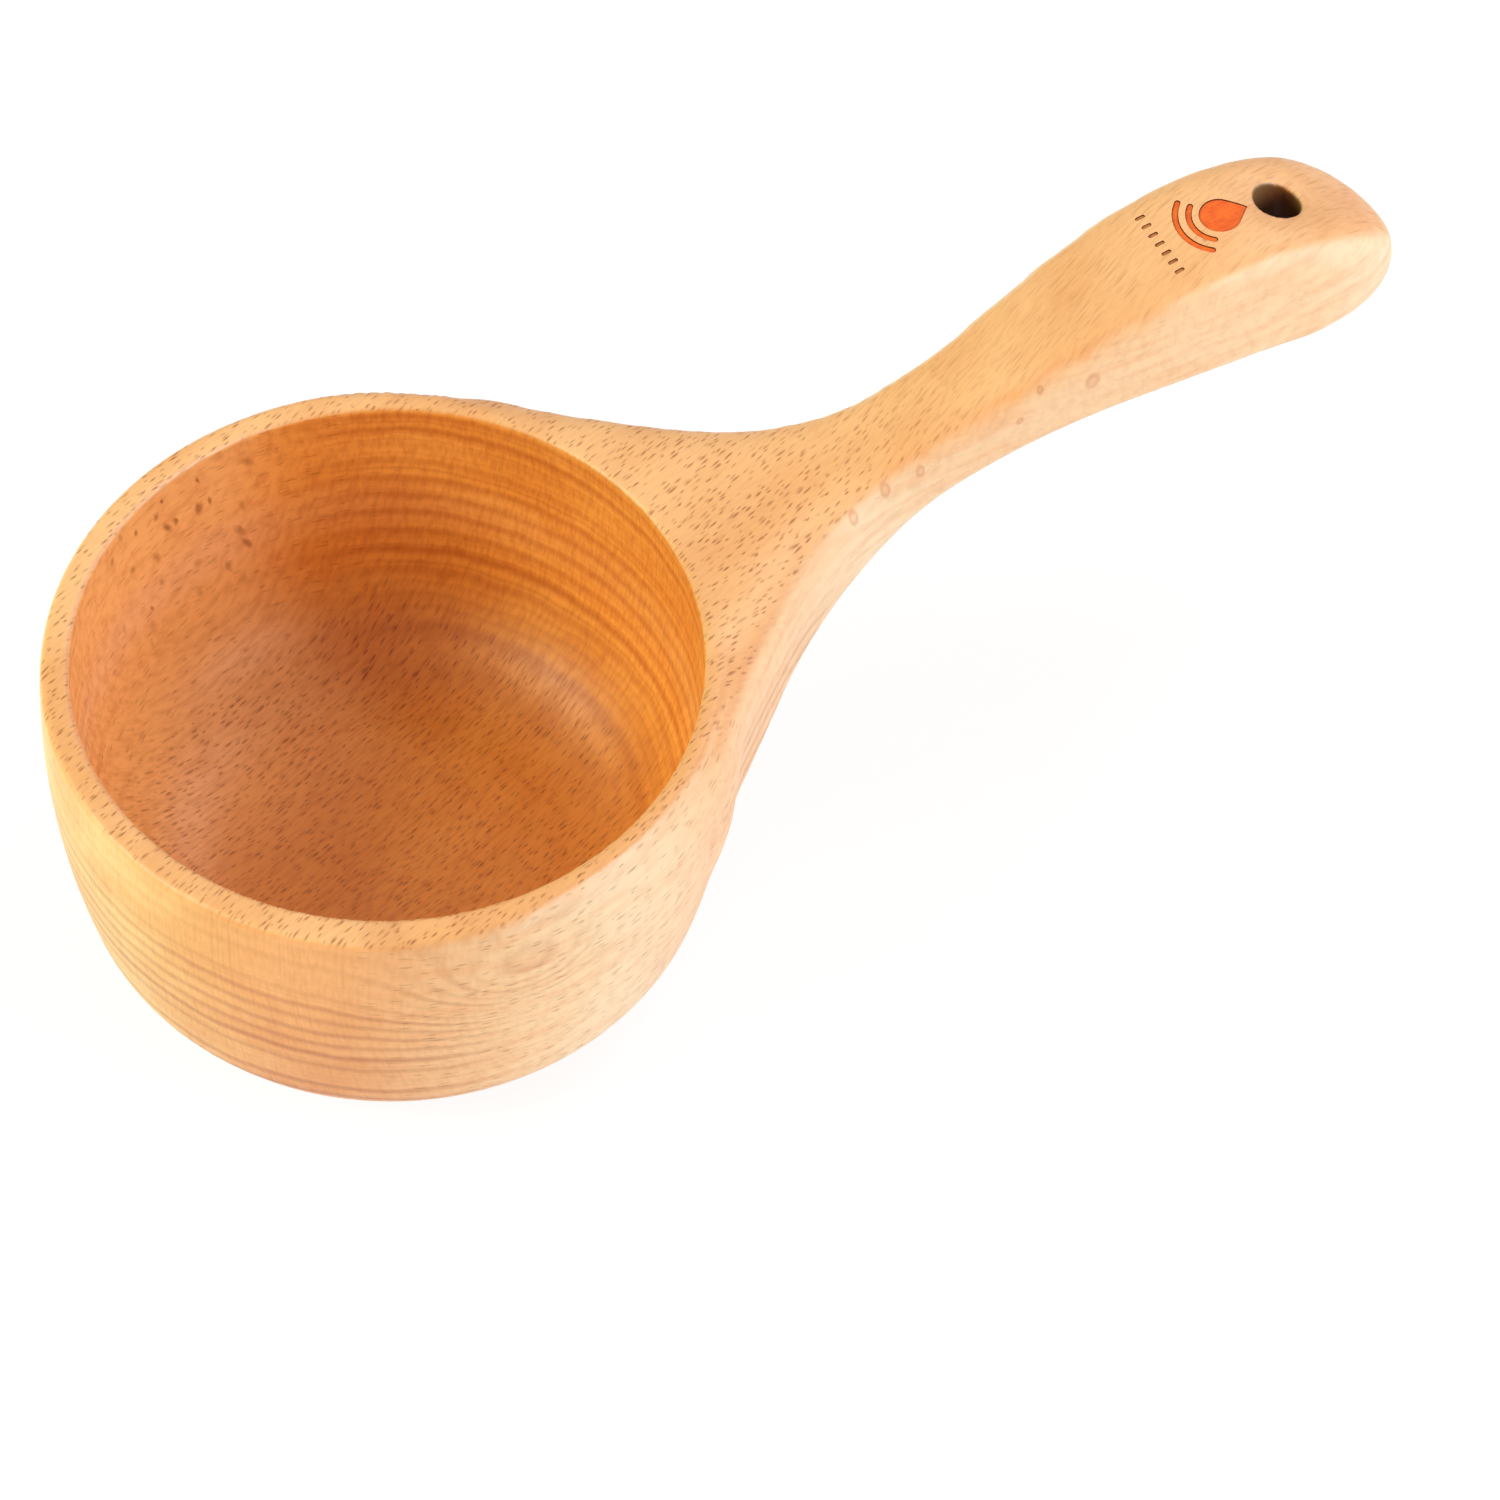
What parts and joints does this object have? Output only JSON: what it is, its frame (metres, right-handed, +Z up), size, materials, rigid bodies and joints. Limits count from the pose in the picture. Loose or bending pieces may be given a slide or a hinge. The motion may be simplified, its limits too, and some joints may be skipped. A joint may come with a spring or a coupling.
{
  "type": "water dipper",
  "caption": "Short-handled wooden water dipper carved in one piece: a round cup with a rising handle that narrows at the neck, widens to the grip and ends in a rounded tip with a hanging hole.",
  "frame": {"origin": "centre of the cup's flat foot, on the surface that the dipper stands on", "axes": "+Z up along the cup's axis, +X from the cup's axis towards the handle's end, +Y across the handle"},
  "size_m": [0.2775, 0.128, 0.0893],
  "materials": {
    "beech": "oiled satin",
    "orange_fill": "matte paint fill",
    "brown_fill": "matte paint fill"
  },
  "bodies": {
    "root": {"ladle_body": "beech", "drop_inlay": "orange_fill", "ripple_inlays": "orange_fill", "stroke_inlays": "brown_fill"}
  },
  "joints": []
}
